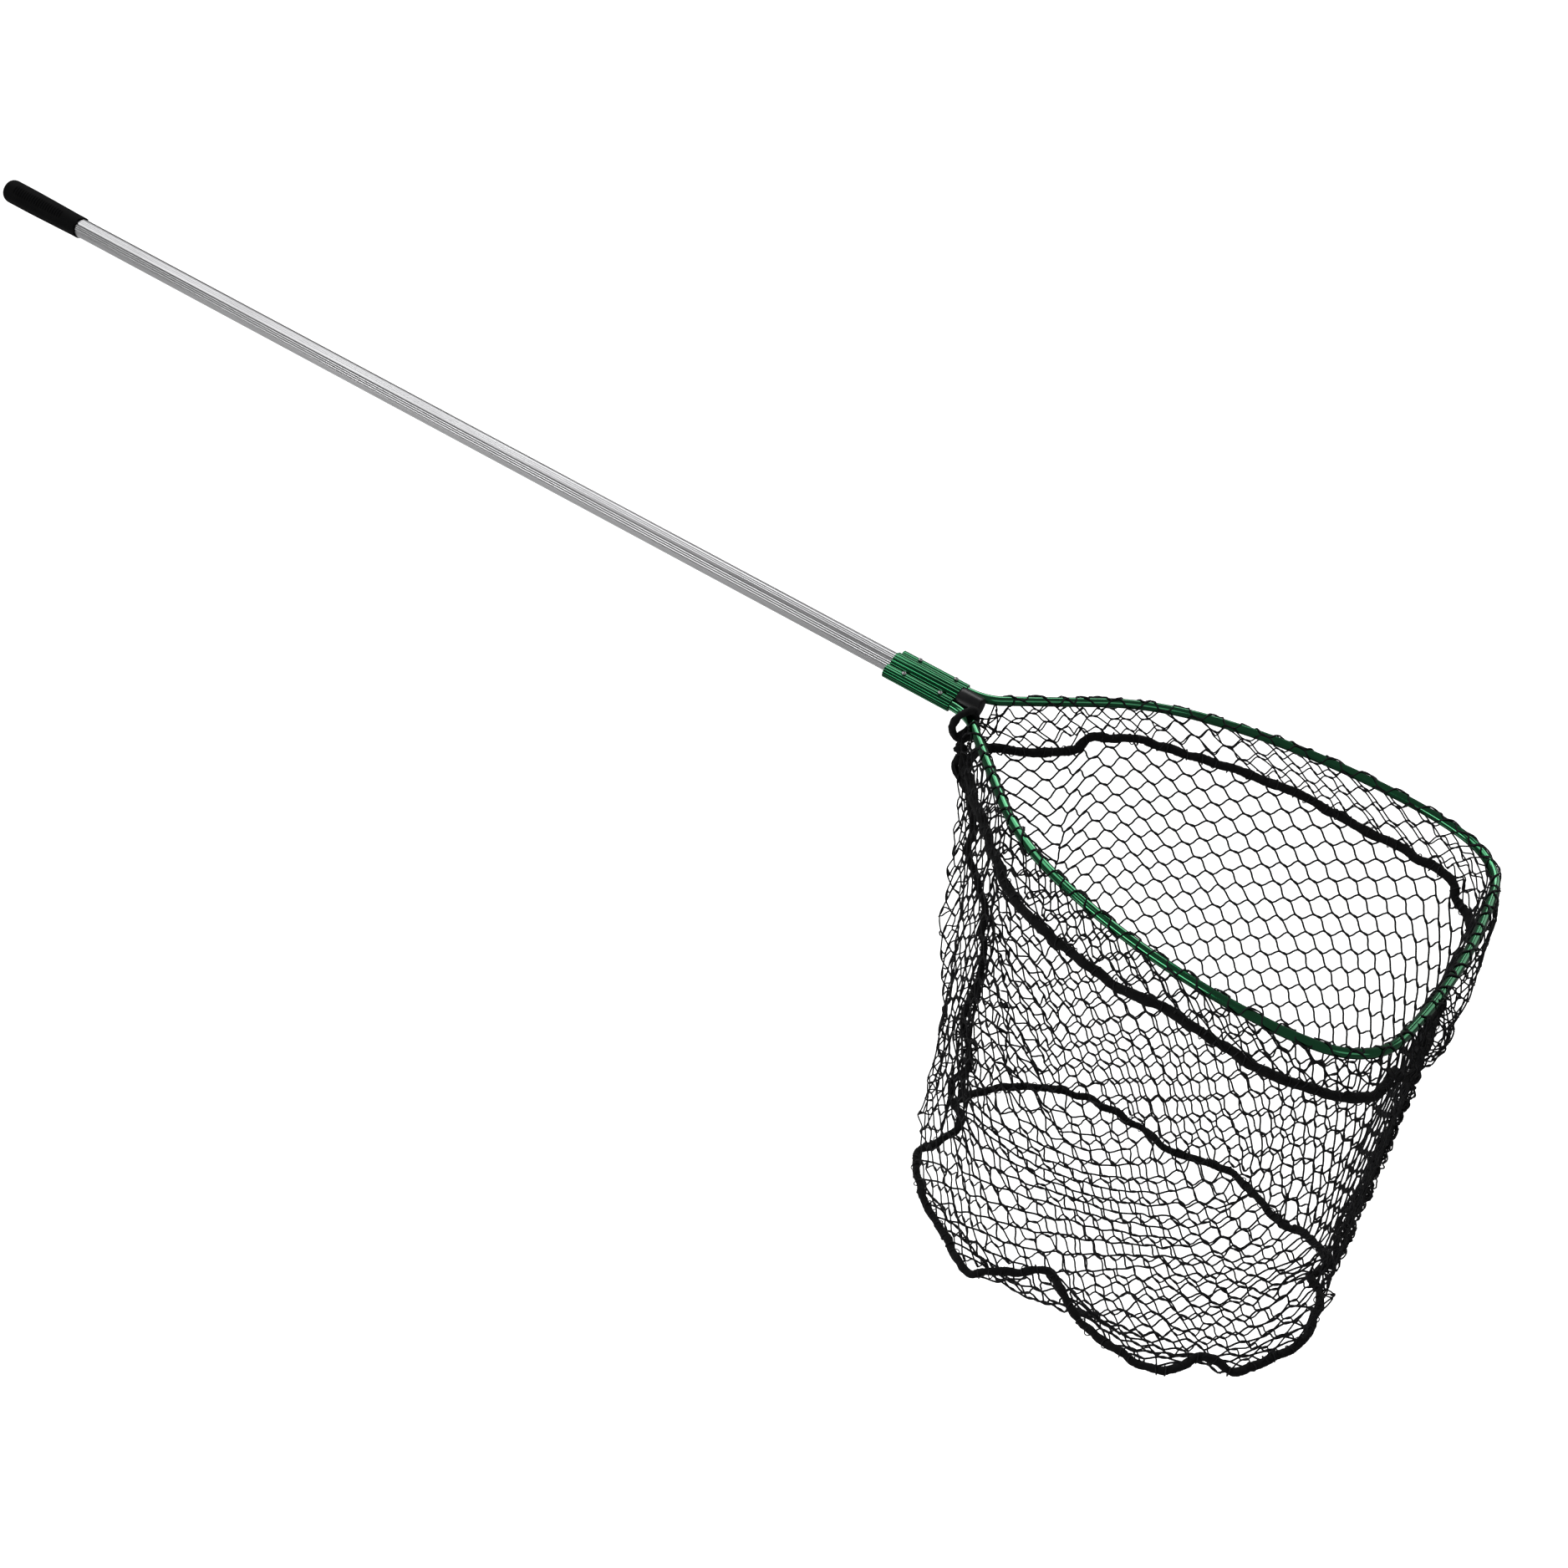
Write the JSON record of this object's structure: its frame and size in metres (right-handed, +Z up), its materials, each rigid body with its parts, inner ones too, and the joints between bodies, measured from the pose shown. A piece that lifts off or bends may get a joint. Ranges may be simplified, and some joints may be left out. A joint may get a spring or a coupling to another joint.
{
  "type": "landing net",
  "caption": "Landing net: a long fluted pole that slides through a ribbed yoke, a shield-shaped tube hoop and a deep mesh bag with laced ropes.",
  "frame": {"origin": "middle of the hand grip, on the pole's axis", "axes": "+Z up as the net is held, +X level in the direction the pole points, towards the hoop; the pole slopes 15.1 degrees down"},
  "size_m": [2.2717, 0.6096, 1.1842],
  "materials": {
    "grip_rubber": "matte",
    "pole_aluminium": "satin",
    "bung_plastic": "matte",
    "plug_plastic": "satin",
    "green_anodised": "gloss",
    "screw_steel": "polished",
    "lock_steel": "satin",
    "netting": "satin",
    "rope_braid": "matte",
    "seam_netting": "matte"
  },
  "bodies": {
    "handle": {"grip": "grip_rubber", "pole": "pole_aluminium", "end_bung": "bung_plastic", "front_plug": "plug_plastic", "button_spring": "lock_steel"},
    "head": {"yoke": "green_anodised", "hoop": "green_anodised", "hoop_screw_1": "screw_steel", "hoop_screw_2": "screw_steel", "hoop_screw_3": "screw_steel", "hoop_screw_4": "screw_steel", "net_cuff": "netting", "net_wall": "netting", "net_bottom": "netting", "cuff_rope": "rope_braid", "bottom_rope": "rope_braid", "heel_rope": "rope_braid", "tie_loop": "rope_braid", "tie_knot": "rope_braid", "toe_seam": "seam_netting"},
    "button": {"lock_button": "lock_steel"}
  },
  "joints": [
    {"name": "head_slide", "type": "slide", "parent": "handle", "child": "head", "axis": [-0.9655, 0, 0.2605], "range_m": [0, 0.64]},
    {"name": "lock_press", "type": "slide", "parent": "handle", "child": "button", "axis": [0.2605, 0, 0.9655], "range_m": [0, 0.0045], "stiffness_N_per_m": 600, "springref_m": -0.003, "deforming": ["button_spring"]}
  ]
}
